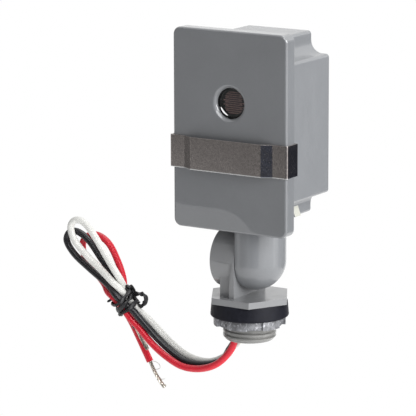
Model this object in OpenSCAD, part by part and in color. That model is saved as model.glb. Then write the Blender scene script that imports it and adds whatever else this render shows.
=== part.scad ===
// Stem-mounted swivel photocontrol: a light-sensing switch that screws into an outlet box.
// Millimetres. Origin at the centre of the nipple's open end, +Z up the nipple, -Y the way the window faces.

/* [Front cover] */
// Width of the cover
cover_w = 50.8; // [46:0.2:60]
// Height of the cover
cover_h = 78; // [70:0.5:90]
// Depth of the cover from face to rim
cover_d = 6.1; // [5:0.1:9]
// Corner radius of the cover
cover_r = 3; // [2.5:0.5:8]
// Rounding of the cover's front edge
cover_edge = 0.9; // [0.4:0.1:1.5]
// Wall of both shells
wall = 2; // [1.5:0.1:2.6]

/* [Window] */
// Height of the window above the cover's middle
window_rise = 11; // [8:0.5:16]
// Diameter of the window's bore
window_d = 12; // [9:0.2:14]
// Width of the countersink around the window
window_bevel = 1.1; // [0.5:0.1:1.4]
// Thickness of the clear lens
lens_t = 0.8; // [0.5:0.1:1.2]
// Depth of the cell's face behind the lens
cell_recess = 1.2; // [0.6:0.1:2]
// Thickness of the cell's ceramic disc
cell_t = 2.4; // [1.5:0.1:3]
// Thickness of the light-sensitive track
track_t = 0.3; // [0.2:0.05:0.5]
// Width of one finger of the track
finger_w = 0.45; // [0.3:0.05:0.6]
// Spacing of the track's fingers
finger_pitch = 0.8; // [0.7:0.05:1.2]

/* [Rear housing] */
// Width of the cover's rim that overhangs the housing at either side
rim_side = 2.7; // [2.4:0.1:3.4]
// Width of the cover's rim that overhangs the housing at either end
rim_end = 3.2; // [2.4:0.1:4]
// Width of the notch at each corner of the housing
notch_w = 8; // [7.5:0.1:9]
// Height of the notch at each corner of the housing
notch_h = 8.5; // [7.5:0.1:10]
// Depth of the housing behind the cover
body_d = 30.7; // [26:0.1:36]
// Radius of the inner corners of the stepped outline
notch_r = 5; // [3:0.5:6]
// Radius of the outer corners of the stepped outline
step_r = 1.4; // [0.8:0.1:2]
// Depth of the side ramp on the lower shoulder
ramp_d = 1.5; // [0.8:0.1:2]
// Height of the side ramp
ramp_h = 4.2; // [3:0.1:5]
// Width of the side ramp
ramp_w = 4.3; // [3:0.1:6]
// Distance of the side ramp behind the cover
ramp_back = 16.4; // [10:0.1:18]

/* [Swivel] */
// Height of the swivel axis above the hex flange
axis_rise = 14; // [13:0.1:17]
// Radius of the fixed barrel
barrel_r = 11.8; // [11:0.1:12.2]
// Length of the fixed barrel with its web
barrel_l = 11; // [10:0.1:13]
// Thickness of the web
web_t = 2.2; // [1.8:0.1:2.6]
// Radius of the turning knuckle
knuckle_r = 11.9; // [11:0.1:12.2]
// Distance of the knuckle's centre from the nipple axis
knuckle_x = 2.8; // [2:0.1:4]
// Radius of the hollow trunnion
trunnion_r = 5.6; // [5:0.1:6.5]
// Radius of the lead passage through the trunnion
trunnion_bore_r = 4.2; // [3.5:0.1:4.3]
// Width of the pedestal under the barrel
pedestal_w = 5.2; // [4.6:0.1:6.5]
// Depth of the pedestal
pedestal_d = 20; // [16:0.5:22]
// Thickness of the friction washer and of the retaining clip
ring_t = 0.8; // [0.6:0.1:1]
// Thickness of the barrel's end cap
cap_t = 1.8; // [1.2:0.1:2.2]
// Gap between the turning and the fixed knuckle
swivel_gap = 0.3; // [0.2:0.05:0.5]

/* [Stem] */
// Outside diameter of the nipple's thread
thread_d = 20.9; // [20:0.1:21.4]
// Length of thread left free below the locknut
thread_free = 5.9; // [5:0.1:9]
// Diameter of the thread's core under the locknut
core_d = 20.2; // [19.4:0.1:20.4]
// Bore of the nipple
bore_d = 15.2; // [13:0.1:16]
// Size of the hex flange across its flats
hex_af = 29.2; // [27:0.1:31]
// Thickness of the hex flange
hex_t = 2.5; // [2:0.1:4]
// Diameter of the gasket
gasket_d = 30.8; // [29:0.1:33]
// Thickness of the gasket
gasket_t = 6; // [4:0.1:7]
// Diameter over the locknut's lugs
nut_d = 28.3; // [27.5:0.1:30]
// Diameter of the locknut between its lugs
nut_root_d = 25.6; // [24.5:0.1:26.5]
// Thickness of the locknut
nut_t = 3.5; // [2.5:0.1:4.5]
// Number of lugs on the locknut
nut_lugs = 6; // [5:1:8]
// Angle that one lug takes
lug_angle = 34; // [22:1:38]
// Turn of the locknut about the nipple
nut_turn = 23; // [0:1:59]
// Depth of the lead grommet inside the nipple's mouth
grommet_in = 2; // [1:0.5:3]
// Length of the lead grommet
grommet_l = 6; // [4:0.5:8]

/* [Light slide] */
// Height of the sliding band
slide_h = 12.7; // [10:0.1:15]
// Drop of the band's middle below the cover's middle
slide_drop = 9.2; // [6:0.1:12]
// Thickness of the band's sheet metal
slide_t = 0.7; // [0.5:0.1:0.9]
// Rise of the band's raised middle
slide_rise = 2; // [1:0.1:3]
// Width of the raised middle
slide_panel_w = 32.2; // [28:0.2:36]
// Width of one slanted step
slide_step_w = 4.1; // [2.5:0.1:5]
// Running gap between the band and the cover
slide_gap = 0.2; // [0.1:0.05:0.3]
// Gap between the hooks behind the cover's rim and the housing
hook_gap = 0.3; // [0.2:0.05:0.6]

/* [Circuit board] */
// Gap between the board's sides and the housing
board_side = 1.7; // [1:0.1:2.4]
// Gap between the board's ends and the housing
board_end = 2.3; // [1.5:0.1:3]
// Thickness of the board
board_t = 1.6; // [1:0.1:2]
// Gap between the cell and the board
board_gap = 4; // [3:0.1:6]
// Distance of the screws from the board's edges
screw_inset = 3.4; // [3:0.1:4]

/* [Thermal switch] */
// Width of the heater, the blade and the contact's post
heater_w = 6; // [4:0.5:8]
// Length of the heater
heater_l = 16; // [12:0.5:18]
// Thickness of the heater
heater_t = 5; // [3:0.1:6]
// Thickness of the bimetal blade
blade_t = 0.6; // [0.4:0.1:1]
// Radius of the surge arrester
arrester_r = 5; // [3:0.1:5]
// Thickness of the surge arrester
arrester_t = 4; // [2:0.1:5]

/* [Leads] */
// Diameter of a lead's insulation
lead_d = 2.8; // [2.4:0.1:2.8]
// Diameter of a lead's bare strands
strand_d = 1.5; // [1.2:0.1:1.8]
// Diameter of the twist tie's coated wire
tie_d = 1.4; // [1:0.1:1.4]

/* [Hidden] */
$fn = 64;
seat = 0.05;
play = 0.08;
ledge = 0.8;
// How far a cutting shape reaches past what it cuts.
over = 1;
fillet_fn = 32;
arc_steps = 6;
nut_z = thread_free;
gasket_z = nut_z + nut_t;
hex_z = gasket_z + gasket_t;
hex_top = hex_z + hex_t;
axis_z = hex_top + axis_rise;
// The head hangs behind the cover; its front face stands ahead of the nipple axis.
face_y = -15.1;
rim_y = face_y + cover_d;
back_y = rim_y + body_d;
ramp_y = rim_y + ramp_back;
// The cover's lower edge clears the barrel and the knuckle by this much.
head_gap = 1.2;
head_bottom = axis_z + max(barrel_r, knuckle_r) + head_gap;
head_z = head_bottom + cover_h / 2;
body_w = cover_w - 2 * rim_side;
end_w = body_w - 2 * notch_w;
end_h = cover_h - 2 * rim_end;
body_h = end_h - 2 * notch_h;
end_bottom = head_z - end_h / 2;
ramp_z = end_bottom + step_r / 3;
inner_y = back_y - wall;
window_z = head_z + window_rise;
lens_lip = 0.9;
lens_r = window_d / 2 + lens_lip;
lens_y = face_y + wall;
cup_y = lens_y + lens_t;
cell_y = cup_y + cell_recess;
cell_back = cell_y + cell_t;
cell_edge = 0.3;
cell_r = window_d / 2 - cell_edge;
shade_r = cell_r - 0.5;
track_r = cell_r - 1.1;
bus_x = track_r - 1.6;
pin_r = 0.4;
boss_wall = 1.6;
boss_r = lens_r + seat + boss_wall;
board_y = cell_back + board_gap;
board_back = board_y + board_t;
flange_t = wall;
board_w = body_w - 2 * wall - 2 * board_side;
board_h = body_h - 2 * wall - 2 * board_end;
screw_x = board_w / 2 - screw_inset;
screw_dz = board_h / 2 - screw_inset;
screw_r = 1.2;
screw_l = 6;
screw_head_t = 1.5;
post_r = 2.6;
heater_z = head_z + 2;
blade_gap = 0.4;
blade_y = board_back + heater_t + blade_gap;
blade_foot_t = 1;
blade_top = heater_z + heater_l / 2 + 2;
contact_z = heater_z - heater_l / 2 - 6;
contact_r = 1.4;
contact_t = 1.7;
contact_gap = 0.1;
contact_post = heater_t + blade_gap - contact_gap - contact_t;
arrester_side = 8;
arrester_x = board_w / 2 - arrester_side;
arrester_z = head_z - 8;
web_x = -web_t;
barrel_x = -barrel_l;
barrel_bore_r = barrel_r - wall;
cap_r = barrel_bore_r + wall * 0.4;
washer_x = web_x - ring_t;
clip_x = washer_x - swivel_gap - ring_t;
trunnion_end = clip_x - ring_t;
clip_depth = 0.6;
clip_seat_r = trunnion_r - clip_depth;
clip_lip = 1.8;
washer_lip = 2.6;
gasket_flare = 0.4;
gasket_taper = 0.5;
lug_root = (core_d + nut_root_d) / 4;
passage_w = pedestal_w - wall;
slide_z = head_z - slide_drop;
slide_x = cover_w / 2 + slide_gap;
slide_y = face_y - slide_gap;
hook_y = rim_y + slide_gap;
hook_x = body_w / 2 + hook_gap;

// Lead routes: chosen by hand, from the grommet to the end of the insulation.
grommet_z = grommet_in;
red_route = [
    [-5.4, -2.3, grommet_z], [-5.4, -2.3, -1], [-7.7, -2.4, -6.1], [-13.8, -2.4, -12],
    [-21.7, -2, -15.1], [-30.2, -1.8, -15.4], [-38.1, -1.5, -12.4], [-45.4, -1.2, -7.8],
    [-51.1, -1.1, -2.6], [-55.3, -1.5, 1.1], [-58.2, -2.2, 5], [-62, -2.2, 8.3], [-66.2, -0.9, 10.4],
    [-70.2, 2.2, 12.8], [-75.8, 3, 17.9], [-80.6, 3.1, 23.9], [-80.8, 3.2, 28.9], [-77.6, 3.2, 31.7],
    [-72.9, 3.1, 32], [-67.8, 3, 28.9], [-63.6, 2.9, 22], [-61.6, 3.3, 15.7], [-61.3, 3.3, 10.7],
    [-60.6, 3.6, 6], [-60, 3.8, 1.2], [-58.2, 5.3, -3.7], [-54.9, 6, -10.5], [-50.7, 6, -17.9]
];
red_end = [
    [-50.7, 6, -17.9], [-48.13, 6, -22.42], [-45, 6, -26.5], [-43.7, 6, -27.4]
];
black_route = [
    [-6.4, 0.6, grommet_z], [-6.4, 0.6, -1], [-9.8, 0.7, -6.2], [-13.8, 1.2, -11.3], [-21.8, 1.1, -14],
    [-30.2, 0.9, -13.9], [-37.8, 0.6, -10.2], [-44.5, 0.1, -5.1], [-49.6, -1.2, 0.3],
    [-53.1, -2.1, 4.3], [-56.8, -3.5, 7.3], [-60.6, -3.8, 10.4], [-64.5, -1.9, 12.8],
    [-69.5, -0.3, 15.1], [-76.2, 0, 19.1], [-83, 0, 23.9], [-86.7, 0, 29], [-85.1, 0, 32.8],
    [-80.8, 0, 33.2], [-75.3, 0, 29.8], [-69.9, 0, 23.5], [-65.1, 0.8, 17.5], [-63.7, 1.3, 12.5],
    [-62.8, 1, 8.1], [-59.7, 0.4, 4.6], [-56.9, 1.6, 0.9], [-55.4, 3, -3.6]
];
black_end = [
    [-55.4, 3, -3.6], [-54.04, 4.27, -7.69], [-49.9, 3, -12]
];
white_route = [
    [-5.2, 3.5, grommet_z], [-5.2, 3.5, -0.8], [-8.2, 3.5, -5.1], [-14.5, 3.9, -10.7],
    [-22.1, 4, -13.6], [-30.2, 3.6, -12.6], [-37.7, 3.1, -8.6], [-43.9, 2, -2.9], [-49.4, 1.4, 1.7],
    [-53.6, 0.7, 4.8], [-56.7, -0.5, 8.5], [-59.1, -2.3, 12.4], [-62.6, -3.6, 15.9], [-68, -3.2, 19.9],
    [-74.9, -3, 24.7], [-80.8, -3, 30.4], [-82.6, -3, 35.9], [-79.9, -3, 38.9], [-75.3, -3, 37.7],
    [-70.3, -3, 32.3], [-65.3, -3, 25.4], [-61.2, -2.3, 19.1], [-59.9, 0.1, 14.4], [-58.9, 1.5, 9.8],
    [-56.8, 2.6, 5.5], [-53.7, 3.8, 1.8], [-49.1, 4.4, -2.2]
];
white_end = [
    [-49.1, 4.4, -2.2], [-46.47, 4.74, -4.49]
];
// The twist tie's turns lie around the folded leads; its two tails stand out to one side.
tie_centre = [-58.8, 0.2, 7];
tie_along = [-0.512, -0.312, 0.8];
tie_across = [0.683, 0.416, 0.6];
tie_deep = [-0.52, 0.854, 0];
tie_half = [4.7, 7];
tie_turns = 3;
tie_pitch = 1.6;
tie_steps = 16;
tie_tail = 5.5;

// Extrudes an outline drawn in X and Z from depth y0 back to depth y1.
module prism_y(y0, y1) {
    translate([0, y1, 0])
        rotate([90, 0, 0])
            linear_extrude(y1 - y0)
                children();
}

// A cylinder along X from x0 to x1.
module rod_x(r, x0, x1) {
    translate([x0, 0, 0])
        rotate([0, 90, 0])
            cylinder(r = r, h = x1 - x0);
}

// A cylinder along Y from y0 to y1.
module rod_y(r, y0, y1) {
    translate([0, y1, 0])
        rotate([90, 0, 0])
            cylinder(r = r, h = y1 - y0);
}

// Points of an arc about c from angle a0 to angle a1.
function arc(c, r, a0, a1) =
    [for (k = [0 : arc_steps]) let (a = a0 + (a1 - a0) * k / arc_steps) c + r * [cos(a), sin(a)]];
function backwards(v) = [for (k = [len(v) - 1 : -1 : 0]) v[k]];
function flip_x(v) = [for (p = backwards(v)) [-p[0], p[1]]];
function flip_z(v) = [for (p = backwards(v)) [p[0], -p[1]]];
// A whole outline from its upper right quarter, whose points run from the right side to the top.
function four_ways(q) = let (half = concat(q, flip_x(q))) concat(half, flip_z(half));

module rounded_rect(w, h, r) {
    polygon(four_ways(arc([w / 2 - r, h / 2 - r], r, 0, 90)));
}

// The housing's stepped outline, drawn in by a margin on every side.
module stepped_outline(margin) {
    ex = end_w / 2 - margin;
    ez = end_h / 2 - margin;
    bx = body_w / 2 - margin;
    bz = body_h / 2 - margin;
    r = notch_r + margin / 2;
    polygon(four_ways(concat(
        arc([bx - step_r, bz - step_r], step_r, 0, 90),
        arc([ex + r, bz + r], r, 270, 180),
        arc([ex - step_r, ez - step_r], step_r, 0, 90)
    )));
}

// A tube along a route, one ring at each of its points.
function unit(v) = v / norm(v);
function heading(route, i) = unit(route[min(i + 1, len(route) - 1)] - route[max(i - 1, 0)]);
function ring(p, t, side, r, n) =
    let (u = unit(cross(t, side)), v = cross(u, t))
    [for (k = [0 : n - 1]) p + r * (u * cos(360 * k / n) + v * sin(360 * k / n))];

module tube(route, r, side = [0, 1, 0], n = 8) {
    last = (len(route) - 1) * n;
    points = [for (i = [0 : len(route) - 1]) each ring(route[i], heading(route, i), side, r, n)];
    sides = [
        for (i = [0 : len(route) - 2], k = [0 : n - 1])
            let (a = i * n + k, b = i * n + (k + 1) % n)
            [a, b, b + n, a + n]
    ];
    ends = [[for (k = [n - 1 : -1 : 0]) k], [for (k = [0 : n - 1]) last + k]];
    polyhedron(points, concat(sides, ends));
}

// The cover: a shallow tray with a rounded front edge, a bevelled window and a tube that holds the cell.
module front_cover() {
    color("#74777a")
        difference() {
            union() {
                difference() {
                    translate([0, 0, head_z])
                        hull()
                            for (s = [0, 0.3, 1])
                                prism_y(rim_y - cover_d + cover_edge * (1 - s) * (1 - s), rim_y)
                                    offset(delta = -cover_edge * s * s)
                                        rounded_rect(cover_w, cover_h, cover_r, $fn = fillet_fn);
                    translate([0, 0, head_z]) {
                        prism_y(rim_y - flange_t, rim_y + over)
                            rounded_rect(cover_w - 2 * wall, cover_h - 2 * wall, cover_r - wall / 2);
                        prism_y(lens_y, rim_y)
                            rounded_rect(cover_w - 2 * wall - 2 * ledge, cover_h - 2 * wall - 2 * ledge,
                                         cover_r - wall / 2);
                    }
                }
                translate([0, 0, window_z])
                    rod_y(boss_r, lens_y - wall / 2, cell_back);
            }
            translate([0, 0, window_z]) {
                rod_y(window_d / 2, face_y - over, lens_y + over);
                rod_y(lens_r + seat, lens_y, cell_back + over);
                translate([0, face_y, 0])
                    rotate([-90, 0, 0])
                        cylinder(r1 = window_d / 2 + window_bevel, r2 = window_d / 2, h = window_bevel);
            }
        }
}

module window_lens() {
    color("#d8dcdc", 0.5)
        translate([0, 0, window_z])
            rod_y(lens_r, lens_y, cup_y);
}

// Black cup that shades the cell's edge and holds it behind the lens.
module cell_cup() {
    color("#17181a")
        translate([0, 0, window_z])
            difference() {
                rod_y(lens_r, cup_y, cell_back);
                rod_y(shade_r, cup_y - over, cell_back + over);
                rod_y(cell_r + seat, cell_y - track_t, cell_back + over);
            }
}

module cell_disc() {
    color("#c9c3b4")
        translate([0, 0, window_z])
            rod_y(cell_r, cell_y, cell_back);
}

// Interleaved comb fingers of the light-sensitive track, on the face of the disc.
module cell_track() {
    count = floor(track_r / finger_pitch);
    color("#6a4a36")
        translate([0, 0, window_z])
            prism_y(cell_y - track_t, cell_y)
                intersection() {
                    circle(track_r);
                    union() {
                        for (k = [-count : count])
                            translate([(k % 2 == 0 ? 1 : -1) * finger_pitch, k * finger_pitch])
                                square([2 * track_r, finger_w], center = true);
                        for (k = [-count : count - 1])
                            translate([(k % 2 == 0 ? -1 : 1) * bus_x, (k + 0.5) * finger_pitch])
                                square([finger_w * 2, finger_pitch + finger_w], center = true);
                    }
                }
}

module cell_pins() {
    color("#b9bbbd")
        for (sx = [-1, 1])
            translate([sx * cell_r / 2, 0, window_z])
                rod_y(pin_r, cell_back, board_y);
}

// The turning knuckle: a bullet with a flat inner face, drawn in by a margin.
module knuckle(margin, top) {
    r = knuckle_r - margin;
    intersection() {
        translate([knuckle_x, 0, axis_z])
            rotate_extrude() {
                intersection() {
                    circle(r);
                    translate([0, -r])
                        square(r);
                }
                square([r, top - axis_z]);
            }
        translate([swivel_gap + margin, -2 * knuckle_r, 0])
            cube([3 * knuckle_r, 4 * knuckle_r, 3 * head_z]);
    }
}

// Side ramps on the lower shoulders of the housing.
module ramps() {
    x = end_w / 2;
    half = [[x - wall / 2, ramp_z], [x + ramp_d, ramp_z], [x, ramp_z + ramp_h]];
    for (side = [half, flip_x(half)])
        prism_y(ramp_y, ramp_y + ramp_w)
            polygon(side);
}

// The rear shell with the upper knuckle, its trunnion and the posts that carry the board.
module rear_housing() {
    color("#74777a")
        difference() {
            union() {
                translate([0, 0, head_z]) {
                    difference() {
                        union() {
                            prism_y(rim_y, back_y)
                                stepped_outline(0);
                            prism_y(rim_y - flange_t, rim_y)
                                rounded_rect(cover_w - 2 * wall - 2 * play, cover_h - 2 * wall - 2 * play,
                                             cover_r - wall / 2 - play);
                        }
                        prism_y(rim_y - flange_t - over, inner_y)
                            stepped_outline(wall);
                    }
                    for (sx = [-1, 1], sz = [-1, 1])
                        translate([sx * screw_x, 0, sz * screw_dz])
                            rod_y(post_r, board_back, back_y - wall / 2);
                }
                ramps();
                difference() {
                    knuckle(0, end_bottom + wall / 2);
                    translate([-2 * knuckle_r, rim_y - 2 * knuckle_r, head_bottom - head_gap / 2])
                        cube([4 * knuckle_r, 2 * knuckle_r, cover_h]);
                }
                translate([0, 0, axis_z])
                    rod_x(trunnion_r, trunnion_end, swivel_gap + wall / 2);
            }
            // Lead passage: from the shell down into the knuckle and out through the trunnion.
            intersection() {
                knuckle(wall, end_bottom + 2 * wall);
                translate([-knuckle_r, rim_y + wall, 0])
                    cube([3 * knuckle_r, 3 * knuckle_r, head_z]);
            }
            translate([0, 0, axis_z]) {
                rod_x(trunnion_bore_r, trunnion_end - over, swivel_gap + 2 * wall);
                difference() {
                    rod_x(trunnion_r + over, clip_x, clip_x + ring_t);
                    rod_x(clip_seat_r, clip_x - over, clip_x + ring_t + over);
                }
            }
            translate([0, 0, head_z])
                for (sx = [-1, 1], sz = [-1, 1])
                    translate([sx * screw_x, 0, sz * screw_dz])
                        rod_y(screw_r + seat, board_back - over, board_back + screw_l + over);
        }
}

// Folded sheet-metal band: raised middle, two slanted steps, flanges and hooks behind the rim.
module light_slide() {
    panel = slide_panel_w / 2;
    foot = panel + slide_step_w;
    lean = slide_t * slide_rise / slide_step_w;
    outer_y = slide_y - slide_t;
    half = [
        [panel - lean, outer_y - slide_rise], [foot - lean, outer_y], [slide_x + slide_t, outer_y],
        [slide_x + slide_t, hook_y + slide_t], [hook_x, hook_y + slide_t], [hook_x, hook_y],
        [slide_x, hook_y], [slide_x, slide_y], [foot - 2 * lean, slide_y],
        [panel - 2 * lean, slide_y - slide_rise]
    ];
    color("#a3a19b")
        translate([0, 0, slide_z - slide_h / 2])
            linear_extrude(slide_h)
                polygon(concat(half, flip_x(half)));
}

module circuit_board() {
    color("#8a6b3d")
        translate([0, 0, head_z])
            difference() {
                prism_y(board_y, board_back)
                    square([board_w, board_h], center = true);
                for (sx = [-1, 1], sz = [-1, 1])
                    translate([sx * screw_x, 0, sz * screw_dz])
                        rod_y(screw_r + seat, board_y - over, board_back + over);
            }
}

module board_screws() {
    color("#b4b6b8")
        for (sx = [-1, 1], sz = [-1, 1])
            translate([sx * screw_x, 0, head_z + sz * screw_dz]) {
                rod_y(2 * screw_r, board_y - screw_head_t, board_y);
                rod_y(screw_r, board_y, board_back + screw_l);
            }
}

// Ceramic heater under the bimetal blade.
module heater_resistor() {
    color("#d9d4c7")
        translate([-heater_w / 2, board_back, heater_z - heater_l / 2])
            cube([heater_w, heater_t, heater_l]);
}

// Bimetal blade on its foot, bent over the heater.
module bimetal_blade() {
    tip = contact_z - heater_w / 3;
    color("#b58a4c") {
        translate([-heater_w / 2, board_back, blade_top])
            cube([heater_w, blade_y + blade_t - board_back, blade_foot_t]);
        translate([-heater_w / 2, blade_y, tip])
            cube([heater_w, blade_t, blade_top - tip]);
    }
}

// Fixed contact that the blade's free end meets.
module fixed_contact() {
    color("#b9bbbd")
        translate([0, board_back, contact_z]) {
            translate([-heater_w / 2, 0, -heater_w / 6])
                cube([heater_w, contact_post, heater_w / 3]);
            rod_y(contact_r, contact_post, contact_post + contact_t);
        }
}

module surge_arrester() {
    color("#2b4d86")
        translate([arrester_x, 0, arrester_z])
            rod_y(arrester_r, board_back, board_back + arrester_t);
}

// The stem: nipple, hex flange, pedestal, web and barrel moulded in one.
module stem() {
    color("#8f9290")
        difference() {
            union() {
                cylinder(d = thread_d, h = thread_free);
                cylinder(d = core_d, h = hex_z + hex_t / 2);
                translate([0, 0, hex_z])
                    cylinder(d = hex_af / cos(30), h = hex_t, $fn = 6);
                translate([web_x - pedestal_w, -pedestal_d / 2, hex_top - hex_t / 2])
                    cube([pedestal_w + web_t / 2, pedestal_d, axis_rise + hex_t / 2]);
                translate([web_x, -barrel_r, hex_top - hex_t / 2])
                    cube([web_t, 2 * barrel_r, axis_rise + hex_t / 2]);
                translate([0, 0, axis_z])
                    rod_x(barrel_r, barrel_x, 0);
            }
            translate([0, 0, -over])
                cylinder(d = bore_d, h = hex_z + over);
            translate([0, 0, axis_z]) {
                rod_x(barrel_bore_r, barrel_x + cap_t, web_x);
                rod_x(cap_r, barrel_x - over, barrel_x + cap_t);
                rod_x(trunnion_r + play, web_x - over, over);
            }
            translate([web_x - passage_w, -bore_d / 3, hex_z - over])
                cube([passage_w, 2 * bore_d / 3, axis_rise]);
        }
}

// Soft sealing ring with a slightly flared foot.
module gasket() {
    color("#232427")
        translate([0, 0, gasket_z])
            rotate_extrude()
                polygon([
                    [core_d / 2 + play, 0], [gasket_d / 2 - gasket_flare, 0], [gasket_d / 2, gasket_flare],
                    [gasket_d / 2 - gasket_taper, gasket_t], [core_d / 2 + play, gasket_t]
                ]);
}

// Die-cast locknut: a ring with lugs for a driver's tip.
module locknut() {
    color("#9a9da0")
        translate([0, 0, nut_z])
            difference() {
                union() {
                    cylinder(d = nut_root_d, h = nut_t);
                    for (k = [0 : nut_lugs - 1])
                        rotate(360 * k / nut_lugs + nut_turn)
                            rotate_extrude(angle = lug_angle)
                                translate([lug_root, 0])
                                    square([nut_d / 2 - lug_root, nut_t]);
                }
                translate([0, 0, -over])
                    cylinder(d = core_d + 2 * seat, h = nut_t + 2 * over);
            }
}

module swivel_washer() {
    color("#b4b6b8")
        translate([0, 0, axis_z])
            difference() {
                rod_x(trunnion_r + washer_lip, washer_x, web_x);
                rod_x(trunnion_r + play, washer_x - over, web_x + over);
            }
}

// Open retaining clip in the trunnion's groove.
module swivel_clip() {
    color("#6e7072")
        translate([0, 0, axis_z])
            difference() {
                rod_x(trunnion_r + clip_lip, clip_x, clip_x + ring_t);
                rod_x(clip_seat_r, clip_x - over, clip_x + ring_t + over);
                translate([clip_x - over, -clip_seat_r / 2, 0])
                    cube([ring_t + 2 * over, clip_seat_r, 2 * trunnion_r]);
            }
}

module swivel_cap() {
    color("#74777a")
        translate([0, 0, axis_z])
            rod_x(cap_r - seat, barrel_x, barrel_x + cap_t);
}

module lead_grommet() {
    color("#2a2b2d")
        translate([0, 0, grommet_z])
            cylinder(d = bore_d - 2 * seat, h = grommet_l);
}

module red_lead() {
    color("#c8202f")
        tube(red_route, lead_d / 2);
}

module black_lead() {
    color("#26272a")
        tube(black_route, lead_d / 2);
}

module white_lead() {
    color("#e9e9e4")
        tube(white_route, lead_d / 2);
}

module red_strands() {
    color("#b9b2a4")
        tube(red_end, strand_d / 2);
}

module black_strands() {
    color("#b9b2a4")
        tube(black_end, strand_d / 2);
}

module white_strands() {
    color("#b9b2a4")
        tube(white_end, strand_d / 2);
}

// Coated twist tie: turns around the folded leads, then two tails.
module twist_tie() {
    function on_turn(a) = tie_centre + tie_along * tie_pitch * (a / 360 - tie_turns / 2)
        + tie_across * tie_half[0] * cos(a) + tie_deep * tie_half[1] * sin(a);
    turns = [for (k = [0 : tie_turns * tie_steps]) on_turn(360 * k / tie_steps)];
    first = turns[0] + tie_across * tie_tail - tie_deep * tie_tail / 3;
    last = turns[len(turns) - 1] + tie_across * tie_tail + tie_deep * tie_tail / 3;
    color("#1b1b1d")
        tube(concat([first], turns, [last]), tie_d / 2, tie_along);
}

front_cover();
window_lens();
cell_cup();
cell_disc();
cell_track();
cell_pins();
rear_housing();
light_slide();
circuit_board();
board_screws();
heater_resistor();
bimetal_blade();
fixed_contact();
surge_arrester();
stem();
gasket();
locknut();
swivel_washer();
swivel_clip();
swivel_cap();
lead_grommet();
red_lead();
black_lead();
white_lead();
red_strands();
black_strands();
white_strands();
twist_tie();
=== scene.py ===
import math

import bmesh
import bpy
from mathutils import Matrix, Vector


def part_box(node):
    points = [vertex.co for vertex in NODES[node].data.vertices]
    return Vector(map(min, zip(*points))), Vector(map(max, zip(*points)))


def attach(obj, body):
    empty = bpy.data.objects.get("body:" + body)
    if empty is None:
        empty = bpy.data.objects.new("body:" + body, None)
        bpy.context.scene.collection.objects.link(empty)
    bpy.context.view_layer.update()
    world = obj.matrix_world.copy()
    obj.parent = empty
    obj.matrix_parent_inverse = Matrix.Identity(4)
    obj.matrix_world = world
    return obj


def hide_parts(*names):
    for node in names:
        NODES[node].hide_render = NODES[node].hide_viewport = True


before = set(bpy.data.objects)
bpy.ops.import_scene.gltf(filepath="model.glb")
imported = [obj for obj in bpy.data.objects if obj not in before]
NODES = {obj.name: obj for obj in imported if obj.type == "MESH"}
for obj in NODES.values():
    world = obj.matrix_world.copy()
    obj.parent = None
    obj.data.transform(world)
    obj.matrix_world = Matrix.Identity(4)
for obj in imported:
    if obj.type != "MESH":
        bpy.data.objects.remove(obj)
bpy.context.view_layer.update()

MM = 0.001
SCENE = bpy.context.scene
SCENE.view_settings.view_transform = "Standard"


# Camera

AZ, EL = math.radians(31.36), math.radians(11.36)
TARGET = Vector((0, 0, 60 * MM))
DISTANCE = 1.1
SENSOR, FOCAL = 36, 245.7
SHIFT = (-0.1001, -0.0492)
away = Vector((math.sin(AZ) * math.cos(EL), -math.cos(AZ) * math.cos(EL), math.sin(EL)))
cam = bpy.data.objects.new("camera", bpy.data.cameras.new("camera"))
SCENE.collection.objects.link(cam)
cam.location = TARGET + DISTANCE * away
cam.rotation_euler = (-away).to_track_quat("-Z", "Y").to_euler()
cam.data.sensor_width = SENSOR
cam.data.lens = FOCAL
cam.data.shift_x, cam.data.shift_y = SHIFT
cam.data.clip_end = 20
SCENE.camera = cam


# Materials

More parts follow.
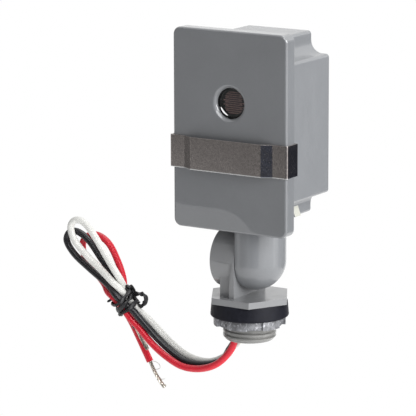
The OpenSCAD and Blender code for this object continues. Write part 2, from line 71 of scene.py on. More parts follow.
class Nodes:
    """A material's node tree, built step by step around one Principled shader."""

    def __init__(self, name):
        self.mat = bpy.data.materials.new(name)
        self.mat.use_nodes = True
        self.tree = self.mat.node_tree
        self.shader = self.tree.nodes["Principled BSDF"]
        self.coord = self.add("ShaderNodeTexCoord")

    def add(self, kind, **values):
        n = self.tree.nodes.new(kind)
        for k, v in values.items():
            if k in n.inputs:
                n.inputs[k].default_value = v
            else:
                setattr(n, k, v)
        return n

    def link(self, a, b):
        self.tree.links.new(a, b)

    def noise(self, scale, detail=3.0, rough=0.55, stretch=None):
        """Noise of so many cells in a metre, its axes scaled by stretch where that is given."""
        n = self.add("ShaderNodeTexNoise")
        n.inputs["Scale"].default_value = scale
        n.inputs["Detail"].default_value = detail
        n.inputs["Roughness"].default_value = rough
        source = self.coord.outputs["Object"]
        if stretch:
            m = self.add("ShaderNodeMapping")
            m.inputs["Scale"].default_value = stretch
            self.link(source, m.inputs["Vector"])
            source = m.outputs["Vector"]
        self.link(source, n.inputs["Vector"])
        return n.outputs[0]

    def ramp(self, value, lo, hi, a, b):
        """The value's range lo to hi spread over a to b."""
        n = self.add("ShaderNodeMapRange")
        n.inputs["From Min"].default_value = lo
        n.inputs["From Max"].default_value = hi
        n.inputs["To Min"].default_value = a
        n.inputs["To Max"].default_value = b
        self.link(value, n.inputs["Value"])
        return n.outputs["Result"]

    def mix(self, factor, a, b):
        """A blend of two colours, each a tuple or a socket."""
        n = self.add("ShaderNodeMix", data_type="RGBA")
        for value, socket in ((a, n.inputs[6]), (b, n.inputs[7])):
            if isinstance(value, tuple):
                socket.default_value = (*value, 1)
            else:
                self.link(value, socket)
        if isinstance(factor, float):
            n.inputs[0].default_value = factor
        else:
            self.link(factor, n.inputs[0])
        return n.outputs[2]

    def bump(self, height, distance, strength=1.0, below=None):
        """A bumped normal, on top of another where one is given."""
        n = self.add("ShaderNodeBump")
        n.inputs["Strength"].default_value = strength
        n.inputs["Distance"].default_value = distance
        self.link(height, n.inputs["Height"])
        if below is not None:
            self.link(below, n.inputs["Normal"])
        return n.outputs["Normal"]

    def set(self, **values):
        """Sets or links the shader's sockets, and gives back the material."""
        for k, v in values.items():
            socket = self.shader.inputs[k.replace("_", " ")]
            if hasattr(v, "is_linked"):
                self.link(v, socket)
            else:
                socket.default_value = v
        return self.mat


def srgb(r, g, b):
    """A colour given as 0 to 255 screen values."""
    return tuple((c / 255 / 12.92) if c < 10.3 else ((c / 255 + 0.055) / 1.055) ** 2.4 for c in (r, g, b))


def moulded(name, colour, rough, depth=0.012, gloss=0.0, tint_below=None, **more):
    """Moulded plastic: fine grain, faint flow marks and handling wear, darker and warmer below a given
    height.
    """
    n = Nodes(name)
    dark = tuple(c * 0.95 for c in colour)
    pale = tuple(min(1, c * 1.05) for c in colour)
    flow = n.ramp(n.noise(55, 4), 0.35, 0.65, 0, 1)
    speck = n.ramp(n.noise(1500, 2), 0.3, 0.7, 0, 1)
    base = n.mix(n.mix(0.35, flow, speck), dark, pale)
    # Darker and warmer below the given height
    if tint_below:
        height = n.add("ShaderNodeSeparateXYZ")
        n.link(n.coord.outputs["Object"], height.inputs[0])
        below = n.ramp(height.outputs["Z"], tint_below * MM, (tint_below - 0.2) * MM, 0, 1)
        base = n.mix(below, base, tuple(c * k for c, k in zip(colour, (0.94, 0.92, 0.86))))
    scuff = n.ramp(n.noise(160, 6, 0.7, (1, 1, 0.25)), 0.5, 0.75, rough, rough + 0.14)
    fine = n.bump(n.noise(2600, 2), depth * MM)
    n.set(Base_Color=base, Roughness=scuff, Normal=n.bump(n.noise(90, 2), 0.03 * MM, 0.5, fine))
    n.set(Specular_IOR_Level=0.5, Coat_Weight=gloss, Coat_Roughness=0.05, Coat_IOR=1.6)
    return n.set(**more)


def sheet_metal(name, colour, rough):
    """Rolled sheet: long fine scratches and soft cloudy patches."""
    n = Nodes(name)
    along = (1, 1, 9)
    cloud = n.ramp(n.noise(140, 5, 0.6), 0.35, 0.65, 0, 1)
    line = n.ramp(n.noise(700, 3, 0.6, along), 0.3, 0.7, 0, 1)
    base = n.mix(cloud, tuple(c * 0.82 for c in colour), tuple(min(1, c * 1.12) for c in colour))
    base = n.mix(n.ramp(line, 0, 1, 0, 0.35), base, tuple(c * 0.7 for c in colour))
    wear = n.ramp(cloud, 0, 1, rough - 0.08, rough + 0.1)
    normal = n.bump(n.noise(700, 3, 0.6, along), 0.006 * MM)
    normal = n.bump(n.noise(75, 2), 0.12 * MM, 0.6, normal)
    return n.set(Base_Color=base, Roughness=wear, Metallic=1.0, Normal=normal)


def spangled(name, colour, rough, low):
    """Coated sheet: a fine salt-and-pepper grain, with a painted highlight, a near-white stripe along its
    lower edge just above the height low.
    """
    n = Nodes(name)
    cells = n.add("ShaderNodeTexVoronoi")
    cells.inputs["Scale"].default_value = 1900
    n.link(n.coord.outputs["Object"], cells.inputs["Vector"])
    grain = n.ramp(cells.outputs["Color"], 0.2, 0.8, 0, 1)
    cloud = n.ramp(n.noise(160, 4, 0.6), 0.35, 0.65, 0, 1)
    base = n.mix(grain, tuple(c * 0.74 for c in colour), tuple(min(1, c * 1.25) for c in colour))
    base = n.mix(n.ramp(cloud, 0, 1, 0, 0.3), base, tuple(c * 0.75 for c in colour))
    height = n.add("ShaderNodeSeparateXYZ")
    n.link(n.coord.outputs["Object"], height.inputs[0])
    # Painted highlight: the colour turns near white along the lower edge
    edge = n.ramp(height.outputs["Z"], (low + 0.45) * MM, (low + 0.25) * MM, 0, 1)
    base = n.mix(edge, base, (0.95, 0.95, 0.94))
    wear = n.ramp(grain, 0, 1, rough + 0.04, rough - 0.04)
    normal = n.bump(cells.outputs["Color"], 0.0022 * MM)
    return n.set(Base_Color=base, Roughness=wear, Metallic=1.0, Normal=normal)


def cast_metal(name, colour, rough):
    """Die-cast zinc: a dull, uneven skin with pits and bright rubbed spots."""
    n = Nodes(name)
    patch = n.ramp(n.noise(300, 5, 0.65), 0.38, 0.62, 0, 1)
    base = n.mix(patch, tuple(c * 0.42 for c in colour), colour)
    rubbed = n.ramp(n.noise(900, 3, 0.6), 0.56, 0.7, 0, 1)
    base = n.mix(rubbed, base, tuple(min(1, c * 2.2) for c in colour))
    shape = n.bump(n.noise(420, 3, 0.6), 0.12 * MM)
    return n.set(Base_Color=base, Roughness=n.ramp(rubbed, 0, 1, rough + 0.1, rough - 0.1), Metallic=0.45,
                 Normal=n.bump(n.noise(1500, 3, 0.6), 0.03 * MM, 1.0, shape))


def rubber(name, colour, rough=0.55):
    """Moulded rubber with a powdery bloom."""
    n = Nodes(name)
    bloom = n.ramp(n.noise(420, 5, 0.7), 0.45, 0.8, 0, 1)
    base = n.mix(bloom, colour, tuple(c * 1.6 + 0.002 for c in colour))
    return n.set(Base_Color=base, Roughness=n.ramp(bloom, 0, 1, rough, rough + 0.2),
                 Normal=n.bump(n.noise(1800, 3), 0.02 * MM), Specular_IOR_Level=0.22)


def vinyl(name, colour, rough=0.32):
    """Extruded vinyl insulation: smooth, with faint dents and dust."""
    n = Nodes(name)
    dust = n.ramp(n.noise(900, 4, 0.7), 0.55, 0.85, 0, 0.5)
    base = n.mix(n.ramp(n.noise(120, 3), 0.35, 0.65, 0, 1), tuple(c * 0.88 for c in colour), colour)
    base = n.mix(dust, base, tuple(min(1, c * 0.8 + 0.08) for c in colour))
    return n.set(Base_Color=base, Roughness=n.ramp(n.noise(300, 3), 0.3, 0.7, rough - 0.06, rough + 0.1),
                 Normal=n.bump(n.noise(350, 2), 0.03 * MM), Specular_IOR_Level=0.5)


def ceramic(name, colour, rough=0.6):
    """A fired or printed layer with a slight mottle."""
    n = Nodes(name)
    base = n.mix(n.ramp(n.noise(800, 4), 0.3, 0.7, 0, 1), tuple(c * 0.9 for c in colour), colour)
    return n.set(Base_Color=base, Roughness=rough, Normal=n.bump(n.noise(2600, 2), 0.01 * MM))


def clear(name):
    """Clear plastic with a trace of haze."""
    n = Nodes(name)
    haze = n.ramp(n.noise(500, 4), 0.4, 0.8, 0.02, 0.08)
    return n.set(Base_Color=(0.95, 0.97, 0.97, 1), Roughness=haze, Transmission_Weight=1.0, IOR=1.49,
                 Specular_IOR_Level=0.5)


COVER = moulded("cover_plastic", srgb(113, 115, 118), 0.4, gloss=1.0, Coat_Roughness=0.015)
SHELL = moulded("shell_plastic", srgb(117, 119, 122), 0.4, gloss=0.7)
STEM = moulded("stem_plastic", srgb(127, 128, 130), 0.28, depth=0.006, gloss=0.5, tint_below=6.0)
GLASS = clear("lens_clear")
CUP = moulded("cell_black", srgb(14, 13, 14), 0.12)
BEAD = moulded("seal_black", srgb(12, 12, 13), 0.2, gloss=1.0, Coat_IOR=2.3)
DISC = ceramic("cell_ceramic", srgb(8, 6, 6), 0.35)
# Painted highlight: a pale colour for the ramps' faces, standing in for the light they catch
RAMP_HIGHLIGHT = moulded("ramp_painted_highlight", srgb(176, 176, 168), 0.4)
FILM = ceramic("cell_film", srgb(130, 102, 99), 0.4)
BAND = spangled("slide_metal", srgb(176, 169, 166), 0.17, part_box("light_slide")[0][2] / MM)
STEEL = sheet_metal("screw_steel", srgb(180, 181, 183), 0.3)
TINNED = sheet_metal("tinned_wire", srgb(205, 200, 190), 0.3)
ZINC = cast_metal("zinc_cast", srgb(148, 149, 153), 0.34)
GASKET = rubber("gasket_rubber", srgb(16, 17, 25), 0.5)
GROMMET = rubber("grommet_rubber", srgb(40, 40, 42))
RED = vinyl("red_vinyl", srgb(222, 32, 54))
BLACK = vinyl("black_vinyl", srgb(26, 26, 31))
WHITE = vinyl("white_vinyl", srgb(240, 240, 236))
TIE = vinyl("tie_coat", srgb(28, 28, 31), 0.45)
BOARD = moulded("board_laminate", srgb(150, 116, 70), 0.5)
BRASS = sheet_metal("bimetal", srgb(196, 160, 96), 0.35)
HEATER = ceramic("heater_ceramic", srgb(222, 216, 202))
ARRESTER = vinyl("arrester_coat", srgb(40, 84, 150))


# Shapes

def smooth_line(points, steps):
    """A smooth curve in metres through points in millimetres."""
    p = [Vector(q) * MM for q in points]
    p = [2 * p[0] - p[1], *p, 2 * p[-1] - p[-2]]
    line = []
    for i in range(1, len(p) - 2):
        for k in range(steps):
            t = k / steps
            a, b, c, d = p[i - 1:i + 3]
            line.append(0.5 * (2 * b + (c - a) * t + (2 * a - 5 * b + 4 * c - d) * t * t
                               + (3 * b - 3 * c + d - a) * t ** 3))
    return line + [p[-2]]


def wire(name, line, radius, mat, body):
    """A round wire along a line, as a curve of one open spline."""
    data = bpy.data.curves.new(name, "CURVE")
    data.dimensions = "3D"
    data.bevel_depth = radius
    data.bevel_resolution = 5
    data.use_fill_caps = True
    spline = data.splines.new("POLY")
    spline.points.add(len(line) - 1)
    for point, co in zip(spline.points, line):
        point.co = (*co, 1)
    spline.use_smooth = True
    data.materials.append(mat)
    o = bpy.data.objects.new(name, data)
    SCENE.collection.objects.link(o)
    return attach(o, body)


def swept(name, lines, radius, mat, body, sides, flat=1.0, twist=None):
    """Several wires as one mesh, round or flattened to a ribbon that twists about its line."""
    bm = bmesh.new()
    for line in lines:
        rings = []
        side = None
        for i, p in enumerate(line):
            t = (line[min(i + 1, len(line) - 1)] - line[max(i - 1, 0)]).normalized()
            side = t.cross(Vector((0, 1, 0))) if side is None else side - t * side.dot(t)
            side.normalize()
            up = t.cross(side)
            a = twist(i) if twist else 0
            u, v = side * math.cos(a) + up * math.sin(a), up * math.cos(a) - side * math.sin(a)
            rings.append([bm.verts.new(p + radius * (u * math.cos(b) + v * math.sin(b) * flat))
                          for b in (2 * math.pi * k / sides for k in range(sides))])
        for a, b in zip(rings, rings[1:]):
            for k in range(sides):
                j = (k + 1) % sides
                bm.faces.new((a[k], a[j], b[j], b[k]))
        bm.faces.new(rings[0][::-1])
        bm.faces.new(rings[-1])
    bmesh.ops.recalc_face_normals(bm, faces=bm.faces)
    return mesh_piece(name, bm, mat, body)


def mesh_piece(name, bm, mat, body, sharp=40):
    """A smooth-shaded piece on a body, with the edges beyond the angle sharp kept sharp."""
    data = bpy.data.meshes.new(name)
    bm.to_mesh(data)
    bm.free()
    data.materials.append(mat)
    for p in data.polygons:
        p.use_smooth = True
    data.set_sharp_from_angle(angle=math.radians(sharp))
    o = bpy.data.objects.new(name, data)
    SCENE.collection.objects.link(o)
    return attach(o, body)


# Leads: the same points as the solids' routes

ROUTES = {
    "red": [
        (-5.4, -2.3, 2), (-5.4, -2.3, -1), (-7.7, -2.4, -6.1), (-13.8, -2.4, -12), (-21.7, -2, -15.1),
        (-30.2, -1.8, -15.4), (-38.1, -1.5, -12.4), (-45.4, -1.2, -7.8), (-51.1, -1.1, -2.6),
        (-55.3, -1.5, 1.1), (-58.2, -2.2, 5), (-62, -2.2, 8.3), (-66.2, -0.9, 10.4), (-70.2, 2.2, 12.8),
        (-75.8, 3, 17.9), (-80.6, 3.1, 23.9), (-80.8, 3.2, 28.9), (-77.6, 3.2, 31.7), (-72.9, 3.1, 32),
        (-67.8, 3, 28.9), (-63.6, 2.9, 22), (-61.6, 3.3, 15.7), (-61.3, 3.3, 10.7), (-60.6, 3.6, 6),
        (-60, 3.8, 1.2), (-58.2, 5.3, -3.7), (-54.9, 6, -10.5), (-50.7, 6, -17.9)],
    "black": [
        (-6.4, 0.6, 2), (-6.4, 0.6, -1), (-9.8, 0.7, -6.2), (-13.8, 1.2, -11.3), (-21.8, 1.1, -14),
        (-30.2, 0.9, -13.9), (-37.8, 0.6, -10.2), (-44.5, 0.1, -5.1), (-49.6, -1.2, 0.3),
        (-53.1, -2.1, 4.3), (-56.8, -3.5, 7.3), (-60.6, -3.8, 10.4), (-64.5, -1.9, 12.8),
        (-69.5, -0.3, 15.1), (-76.2, 0, 19.1), (-83, 0, 23.9), (-86.7, 0, 29), (-85.1, 0, 32.8),
        (-80.8, 0, 33.2), (-75.3, 0, 29.8), (-69.9, 0, 23.5), (-65.1, 0.8, 17.5), (-63.7, 1.3, 12.5),
        (-62.8, 1, 8.1), (-59.7, 0.4, 4.6), (-56.9, 1.6, 0.9), (-55.4, 3, -3.6)],
    "white": [
        (-5.2, 3.5, 2), (-5.2, 3.5, -0.8), (-8.2, 3.5, -5.1), (-14.5, 3.9, -10.7), (-22.1, 4, -13.6),
        (-30.2, 3.6, -12.6), (-37.7, 3.1, -8.6), (-43.9, 2, -2.9), (-49.4, 1.4, 1.7), (-53.6, 0.7, 4.8),
        (-56.7, -0.5, 8.5), (-59.1, -2.3, 12.4), (-62.6, -3.6, 15.9), (-68, -3.2, 19.9),
        (-74.9, -3, 24.7), (-80.8, -3, 30.4), (-82.6, -3, 35.9), (-79.9, -3, 38.9), (-75.3, -3, 37.7),
        (-70.3, -3, 32.3), (-65.3, -3, 25.4), (-61.2, -2.3, 19.1), (-59.9, 0.1, 14.4), (-58.9, 1.5, 9.8),
        (-56.8, 2.6, 5.5), (-53.7, 3.8, 1.8), (-49.1, 4.4, -2.2)],
}
ENDS = {
    "red": [
        (-50.7, 6, -17.9), (-48.13, 6, -22.42), (-45, 6, -26.5), (-43.7, 6, -27.4)],
    "black": [
        (-55.4, 3, -3.6), (-54.04, 4.27, -7.69), (-49.9, 3, -12)],
    "white": [
        (-49.1, 4.4, -2.2), (-46.47, 4.74, -4.49)],
}
LEAD_R = 1.4 * MM
STRAND_R = 0.75 * MM


def strands(name, line, mat):
    """Seven twisted wires along the line, fraying a little towards the tip."""
    r = STRAND_R / 3
    twist, fray = 9, 0.25
    lines = [line]
    for k in range(6):
        turn = []
        for i, p in enumerate(line):
            t = (line[min(i + 1, len(line) - 1)] - line[max(i - 1, 0)]).normalized()
            u = t.cross(Vector((0, 1, 0))).normalized()
            v = t.cross(u)
            f = i / (len(line) - 1)
            a = math.radians(60 * k) + twist * f
            spread = 2 * r * (1 + fray * f * f * (1 + math.sin(2.1 * k)))
            turn.append(p + spread * (u * math.cos(a) + v * math.sin(a)))
        lines.append(turn)
    return swept(name, lines, r, mat, "stem", 6)


# Single wires that stray from the red lead's stripped end

STRAYS = [
    [(-50.7, 6, -17.9), (-48.6, 6, -17.6), (-46.4, 6, -18.4), (-46, 6, -20), (-47.9, 6, -20.8),
     (-49.4, 6, -20.4)],
    [(-46.9, 6, -23.9), (-45.4, 6.2, -24.6), (-43.9, 6.3, -24.3)],
]
STRAY_R = 0.1 * MM
stray = swept("stray_wires", [smooth_line(p, 8) for p in STRAYS], STRAY_R, TINNED, "stem", 5)

cords = []
for colour, mat in (("red", RED), ("black", BLACK), ("white", WHITE)):
    line = smooth_line(ROUTES[colour], 8)
    lead = wire(colour + "_wire", line, LEAD_R, mat, "stem")
    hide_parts(colour + "_lead")
    tip = strands(colour + "_tip", smooth_line(ENDS[colour], 14), TINNED)
    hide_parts(colour + "_strands")
    cords.append((lead, line, [tip]))


# Twist tie: turns drawn tight around the folded leads, then a knot and a loop of spare wire

TIE_CENTRE = Vector((-58.8, 0.2, 7)) * MM
ALONG = Vector((-0.512, -0.312, 0.8))
ACROSS = Vector((0.683, 0.416, 0.6))
DEEP = Vector((-0.52, 0.854, 0))
TIE_R = 0.8 * MM
TIE_REACH = 14 * MM
TIE_TURNS, TIE_PITCH = 3.5, 2.3 * MM
RIBBON_R, RIBBON_FLAT = 1.05 * MM, 0.5


def ribbon_twist(i):
    """The ribbon's turn about its own line at its point i."""
    return 0.26 * i + 0.8 * math.sin(0.31 * i)


def tie_turns(turns, pitch, steps=44):
    """A wire wound around the leads, as close as their sections allow."""
    near = [p for route in ROUTES.values() for p in smooth_line(route, 6)
            if (p - TIE_CENTRE).length < TIE_REACH]
    count = int(turns * steps)
    start, least, step = 9.0, 2, 0.15
    reach = []
    for k in range(count + 1):
        a = 2 * math.pi * k / steps
        base = TIE_CENTRE + ALONG * pitch * (k / steps - turns / 2)
        out = ACROSS * math.cos(a) + DEEP * math.sin(a)
        r = start
        while r > least and min((base + out * r * MM - p).length for p in near) > LEAD_R + TIE_R:
            r -= step
        reach.append(r + step)
    line = []
    for k in range(count + 1):
        a = 2 * math.pi * k / steps
        window = [reach[min(max(k + j, 0), count)] for j in range(-5, 6)]
        r = max(reach[k], sum(window) / len(window)) * (1 + 0.02 * math.sin(3.1 * a))
        slack = pitch * (k / steps - turns / 2) + 0.35 * MM * math.sin(1.7 * a + 0.6)
        line.append(TIE_CENTRE + ALONG * slack + (ACROSS * math.cos(a) + DEEP * math.sin(a)) * r * MM)
    return line


KNOT = [(-56.3, 2.4, 9.3), (-55.1, 1.6, 11.6), (-55.7, 0.8, 13.2), (-57.5, 0.2, 13.3), (-58.5, 0.6, 11.6),
        (-57.3, 1, 10.5), (-54.7, 0.4, 11.7)]
LOOP = [(-55.3, 1.6, 7.9), (-54.9, 0.6, 10), (-52.3, 0, 11.3), (-49.4, 0, 11.1), (-48.6, 0.2, 9.2),
        (-50.5, 0.8, 6.8), (-53.1, 1.4, 5.6), (-54.8, 1.2, 6.6)]
tie_lines = [tie_turns(TIE_TURNS, TIE_PITCH), smooth_line(KNOT, 8), smooth_line(LOOP, 8)]
tie = swept("tie_turns", tie_lines, RIBBON_R, TIE, "stem", 10, RIBBON_FLAT, ribbon_twist)
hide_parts("twist_tie")

# The red lead, first in the list, also carries the stray wires and the tie
cords[0][2].extend([stray, tie])


# Solids kept as they are, with rounded edges and their own materials

WELD_GAP = 0.002 * MM
SLIVER = 0.004 * MM
FLAT_ANGLE = math.radians(0.4)


def plain_normals(data):
    """Drops the normals and the material indices that came with a solid."""
    if "custom_normal" in data.attributes:
        data.attributes.remove(data.attributes["custom_normal"])
    for p in data.polygons:
        p.use_smooth = True
        p.material_index = 0


def round_edges(o, edge, angle=35):
    """Rounds the edges that are sharper than the angle, and evens out the normals."""
    if edge:
        round_off = o.modifiers.new("edge", "BEVEL")
        round_off.width = edge * MM
        round_off.segments = 3
        round_off.limit_method = "ANGLE"
        round_off.angle_limit = math.radians(angle)
        slivers = o.modifiers.new("slivers", "WELD")
        slivers.merge_threshold = SLIVER
    normals = o.modifiers.new("normals", "WEIGHTED_NORMAL")
    normals.keep_sharp = True
    normals.weight = 80


def dress(node, mat, edge=0.0, angle=35):
    """Gives a solid its material and, where an edge width in mm is given, rounded edges."""
    o = NODES[node]
    o.data.materials.clear()
    o.data.materials.append(mat)
    plain_normals(o.data)
    weld = o.modifiers.new("weld", "WELD")
    weld.merge_threshold = WELD_GAP
    flat = o.modifiers.new("flat", "DECIMATE")
    flat.decimate_type = "DISSOLVE"
    flat.angle_limit = FLAT_ANGLE
    round_edges(o, edge, angle)
    return o


dress("front_cover", COVER, 0.4)
housing = dress("rear_housing", SHELL, 0.35)
stem = dress("stem", STEM, 0.2)
dress("gasket", GASKET, 0.4)
slide = dress("light_slide", BAND, 0.2, angle=12)
dress("window_lens", GLASS)
dress("cell_cup", CUP, 0.3)
dress("cell_disc", DISC)
dress("cell_track", FILM)
dress("cell_pins", TINNED)
dress("swivel_cap", SHELL, 0.3)
dress("swivel_washer", STEEL)
dress("swivel_clip", STEEL)
dress("lead_grommet", GROMMET)
dress("circuit_board", BOARD)
dress("board_screws", STEEL)
dress("heater_resistor", HEATER, 0.3)
dress("bimetal_blade", BRASS)
dress("fixed_contact", BRASS)
dress("surge_arrester", ARRESTER, 0.5)


# A short bead of sealant on the lens, low on its left

BEAD_R, BEAD_SIZE, BEAD_GAP = 5.2, 0.44, 0.01
BEAD_FROM, BEAD_SWEEP, BEAD_STEPS = 200, 52, 32
lens_low, lens_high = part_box("window_lens")
lens_y = lens_low[1] / MM - BEAD_GAP
lens_z = (lens_low[2] + lens_high[2]) / 2 / MM
bm = bmesh.new()
rows = []
for k in range(BEAD_STEPS + 1):
    a = math.radians(BEAD_FROM + BEAD_SWEEP * k / BEAD_STEPS)
    size = BEAD_SIZE * (0.08 + 0.92 * math.sin(math.pi * k / BEAD_STEPS) ** 0.5)
    rows.append([bm.verts.new(Vector((r * math.cos(a), y, lens_z + r * math.sin(a))) * MM) for r, y in
                 ((BEAD_R, lens_y), (BEAD_R, lens_y - size), (BEAD_R - size, lens_y))])
for a, b in zip(rows, rows[1:]):
    for k in range(3):
        j = (k + 1) % 3
        bm.faces.new((a[k], a[j], b[j], b[k]))
bm.faces.new(rows[0])
bm.faces.new(rows[-1][::-1])
bmesh.ops.recalc_face_normals(bm, faces=bm.faces)
bead = mesh_piece("lens_bead", bm, BEAD, "head")


# The two ramps low on the housing's sides get a pale colour: a painted highlight where their faces turn
# up towards the light

RAMP_TOP = 58 * MM
housing.data.materials.append(RAMP_HIGHLIGHT)
for p in housing.data.polygons:
    if 0.9 < abs(p.normal.x) < 0.97 and 0.2 < p.normal.z < 0.45 and p.center.z < RAMP_TOP:
        p.material_index = 1


# A clean copy of the locknut, whose solid has slivers that keep its edges from being rounded

SHORTEST = 0.01 * MM
bm = bmesh.new()
bm.from_mesh(NODES["locknut"].data)
bmesh.ops.remove_doubles(bm, verts=bm.verts, dist=WELD_GAP)
bmesh.ops.dissolve_degenerate(bm, dist=SHORTEST, edges=bm.edges)
bmesh.ops.dissolve_limit(bm, angle_limit=FLAT_ANGLE, verts=bm.verts, edges=bm.edges)
nut = mesh_piece("cast_nut", bm, ZINC, "stem", 180)
plain_normals(nut.data)
round_edges(nut, 0.15)
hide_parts("locknut")


# The band's two outer bends are rounder than its other edges

FOLD_R = 0.7 * MM
NEAR = 0.05 * MM
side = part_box("light_slide")[1][0]
sides = [v for v in slide.data.vertices if abs(v.co.x) > side - NEAR]
front = min(v.co.y for v in sides)
bend = slide.vertex_groups.new(name="bend")
bend.add([v.index for v in sides if v.co.y < front + NEAR], 1, "ADD")
fold = slide.modifiers.new("fold", "BEVEL")
fold.width = FOLD_R
fold.segments = 5
fold.limit_method = "VGROUP"
fold.vertex_group = "bend"
slide.modifiers.move(slide.modifiers.find("fold"), slide.modifiers.find("edge"))


# Thread: grooves and a lead-in taper, cut from the nipple's plain end

THREAD_R, ROOT_R, PITCH = 10.45, 9.72, 1.81
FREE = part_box("locknut")[0][2] / MM
RUN_OUT, TURNS = 0.35, 3.6
ROOT_HALF, MOUTH_HALF, BEYOND = 0.14, 0.86, 0.9
TAPER_R, TAPER_OUT, TAPER_LOW, TAPER_TOP = 8.9, 12, -0.4, 3.05


def lathe_cut(name, rings, closed):
    """A cutting shape from rings of points, out of sight."""
    bm = bmesh.new()
    rows = [[bm.verts.new(Vector(p) * MM) for p in ring] for ring in rings]
    pairs = list(zip(rows, rows[1:])) + ([(rows[-1], rows[0])] if closed else [])
    for a, b in pairs:
        for k in range(len(a)):
            j = (k + 1) % len(a)
            bm.faces.new((a[k], a[j], b[j], b[k]))
    if not closed:
        bm.faces.new(rows[0][::-1])
        bm.faces.new(rows[-1])
    bmesh.ops.recalc_face_normals(bm, faces=bm.faces)
    data = bpy.data.meshes.new(name)
    bm.to_mesh(data)
    bm.free()
    o = bpy.data.objects.new(name, data)
    SCENE.collection.objects.link(o)
    o.hide_render = True
    o.hide_viewport = True
    return o


def groove(steps=56):
    """A helical groove, from below the locknut down past the nipple's end."""
    mouth_r = THREAD_R + BEYOND
    section = ((mouth_r, MOUTH_HALF), (ROOT_R, ROOT_HALF), (ROOT_R, -ROOT_HALF), (mouth_r, -MOUTH_HALF))
    rings = []
    for k in range(int(TURNS * steps) + 1):
        a = 2 * math.pi * k / steps
        z = FREE - RUN_OUT - PITCH * k / steps
        rings.append([(r * math.cos(a), r * math.sin(a), z + h) for r, h in section])
    return rings


def taper(steps=96):
    """A ring that cuts the lead-in taper off the nipple's end."""
    section = ((TAPER_R, TAPER_LOW), (TAPER_OUT, TAPER_LOW), (TAPER_OUT, TAPER_TOP))
    rings = []
    for k in range(steps):
        a = 2 * math.pi * k / steps
        rings.append([(r * math.cos(a), r * math.sin(a), z) for r, z in section])
    return rings


for cutter in (lathe_cut("taper_cut", taper(), True), lathe_cut("groove_cut", groove(), False)):
    cut = stem.modifiers.new(cutter.name, "BOOLEAN")
    cut.operation = "DIFFERENCE"
    cut.solver = "EXACT"
    cut.object = cutter
    stem.modifiers.move(stem.modifiers.find(cutter.name), stem.modifiers.find("slivers"))


# Stage and light

def area(name, where, look, size, power, colour=(1, 1, 1)):
    """A square lamp at a place, turned to the place look."""
    light = bpy.data.lights.new(name, "AREA")
    light.energy = power
    light.size = size
    light.color = colour
    o = bpy.data.objects.new(name, light)
    SCENE.collection.objects.link(o)
    o.location = where
    o.rotation_euler = (Vector(look) - Vector(where)).to_track_quat("-Z", "Y").to_euler()
    return o


def seen_white(tree):
    """1 where the camera, a mirrored or a refracted ray looks at the background."""
    path = tree.nodes.new("ShaderNodeLightPath")
    total = path.outputs["Is Camera Ray"]
    for kind in ("Is Glossy Ray", "Is Transmission Ray"):
        most = tree.nodes.new("ShaderNodeMath")
        most.operation = "MAXIMUM"
        tree.links.new(total, most.inputs[0])
        tree.links.new(path.outputs[kind], most.inputs[1])
        total = most.outputs[0]
    return total


WORLD_LIT, WORLD_SEEN = 0.44, 1.0
world = bpy.data.worlds.new("world")
SCENE.world = world
world.use_nodes = True
sky = world.node_tree
strength = sky.nodes.new("ShaderNodeMapRange")
strength.inputs["To Min"].default_value = WORLD_LIT
strength.inputs["To Max"].default_value = WORLD_SEEN
sky.links.new(seen_white(sky), strength.inputs["Value"])
sky.nodes["Background"].inputs["Color"].default_value = (1, 1, 1, 1)
sky.links.new(strength.outputs["Result"], sky.nodes["Background"].inputs["Strength"])


MIDDLE = Vector((0, 0, 0.07))


def around(az, el, distance):
    """A place seen from the middle of the object, az from the front towards the right."""
    az, el = math.radians(az), math.radians(el)
    way = Vector((math.sin(az) * math.cos(el), -math.cos(az) * math.cos(el), math.sin(el)))
    return way * distance + MIDDLE


area("key", around(80, 22, 1.1), MIDDLE, 0.62, 13.5)
area("low", around(62, -12, 0.9), MIDDLE, 0.5, 1.8).visible_glossy = False
area("top", around(165, 72, 1.0), MIDDLE, 0.6, 4)
area("rim", around(146, 15, 1.0), MIDDLE, 0.5, 3.5, (1, 0.99, 0.95)).visible_glossy = False


def grid(name, where, width, height, mat):
    """A flat, level sheet of the stage at a place."""
    bm = bmesh.new()
    bmesh.ops.create_grid(bm, x_segments=1, y_segments=1, size=0.5)
    bmesh.ops.scale(bm, vec=(width, height, 1), verts=bm.verts)
    data = bpy.data.meshes.new(name)
    bm.to_mesh(data)
    bm.free()
    data.materials.append(mat)
    o = bpy.data.objects.new(name, data)
    SCENE.collection.objects.link(o)
    o.location = where
    return o


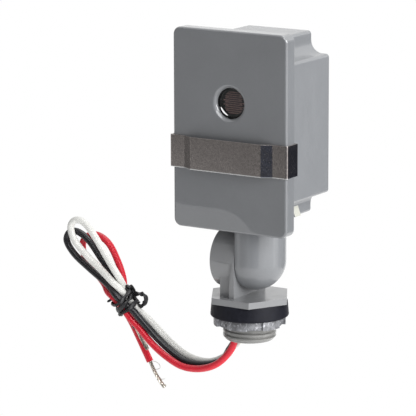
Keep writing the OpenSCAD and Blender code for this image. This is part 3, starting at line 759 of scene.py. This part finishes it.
def card(name, az, el, width, height, level, tint=(1, 1, 1), nearness=0.95):
    """A glowing card of the studio's walls, seen only in mirrored or refracted light."""
    n = Nodes(name)
    glow = n.add("ShaderNodeEmission")
    glow.inputs["Color"].default_value = (*tint, 1)
    glow.inputs["Strength"].default_value = level
    n.link(glow.outputs[0], n.tree.nodes["Material Output"].inputs["Surface"])
    n.mat.cycles.emission_sampling = "NONE"
    where = around(az, el, nearness)
    o = grid(name, where, width, height, n.mat)
    o.rotation_euler = (MIDDLE - where).to_track_quat("-Z", "Y").to_euler()
    o.visible_camera = False
    o.visible_shadow = False
    o.visible_diffuse = False
    return o


card("wall_grey", -30, 6, 1.3, 1.3, 0.2)
card("wall_dark", 24, -2, 0.62, 1.1, 0.1, (0.72, 0.85, 1.15), 0.9)
card("wall_left", -92, 0, 0.5, 1.1, 0.14)
card("wall_back", 149, -10, 0.9, 0.8, 0.05, (0.8, 0.9, 1.2))
card("strip", 105, -11, 0.12, 0.5, 2.0)
card("spot", 34, 46, 0.55, 0.65, 5)

# A table's rounded corner, mirrored low on the cover
TABLE_LEFT, TABLE_RIGHT, TABLE_LOW, TABLE_TOP = -0.70, -0.402, -0.40, -0.115
TABLE_Y, CORNER_R = -0.70, 0.03
table = card("table", 0, 0, 1, 1, 1.0)
corner = [(TABLE_RIGHT - CORNER_R * (1 - math.cos(a)), TABLE_TOP - CORNER_R * (1 - math.sin(a)))
          for a in (math.radians(7.5 * k) for k in range(13))]
outline = [(TABLE_LEFT, TABLE_LOW), (TABLE_RIGHT, TABLE_LOW), *corner, (TABLE_LEFT, TABLE_TOP)]
bm = bmesh.new()
bm.faces.new([bm.verts.new((x, TABLE_Y, z)) for x, z in outline])
bm.to_mesh(table.data)
bm.free()
table.location = (0, 0, 0)
table.rotation_euler = (0, 0, 0)

paper = Nodes("floor_white")
paper.set(Base_Color=paper.mix(paper.ramp(paper.noise(3, 2), 0.3, 0.7, 0, 1), (0.93, 0.93, 0.93),
                               (0.96, 0.96, 0.96)), Roughness=0.9)
glow = paper.add("ShaderNodeEmission")
pick = paper.add("ShaderNodeMixShader")
paper.link(seen_white(paper.tree), pick.inputs[0])
paper.link(paper.shader.outputs[0], pick.inputs[1])
paper.link(glow.outputs[0], pick.inputs[2])
paper.link(pick.outputs[0], paper.tree.nodes["Material Output"].inputs["Surface"])
paper.mat.cycles.emission_sampling = "NONE"
FLOOR_Z, FLOOR_SIZE = -0.35, 12
grid("floor", (0, 0, FLOOR_Z), FLOOR_SIZE, FLOOR_SIZE, paper.mat)

bpy.context.view_layer.update()
